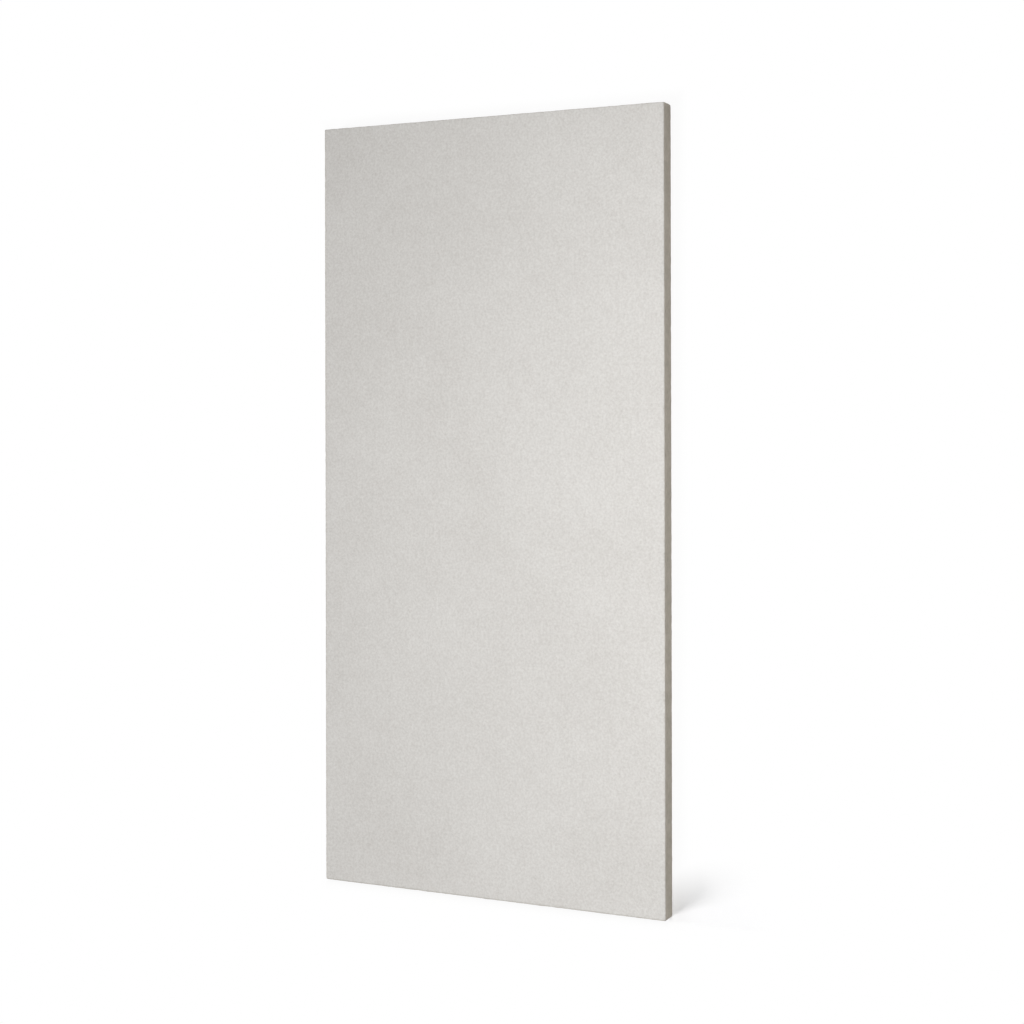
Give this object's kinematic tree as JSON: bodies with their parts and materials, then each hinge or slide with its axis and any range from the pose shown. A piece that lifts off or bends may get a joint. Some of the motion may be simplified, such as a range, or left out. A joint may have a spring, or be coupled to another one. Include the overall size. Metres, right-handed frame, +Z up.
{
  "type": "expansion joint filler board",
  "caption": "Flat rectangular board of pale grey pressed fibre, cut square, that fills the gap of an expansion joint between slabs of concrete.",
  "frame": {"origin": "centre of the underside of the board as it lies flat", "axes": "+X along the length of the board, +Y along its width, +Z up through its thickness"},
  "size_m": [1.25, 0.6, 0.03],
  "materials": {
    "pressed_fibre": "matte"
  },
  "bodies": {
    "root": {"filler_board": "pressed_fibre"}
  },
  "joints": []
}
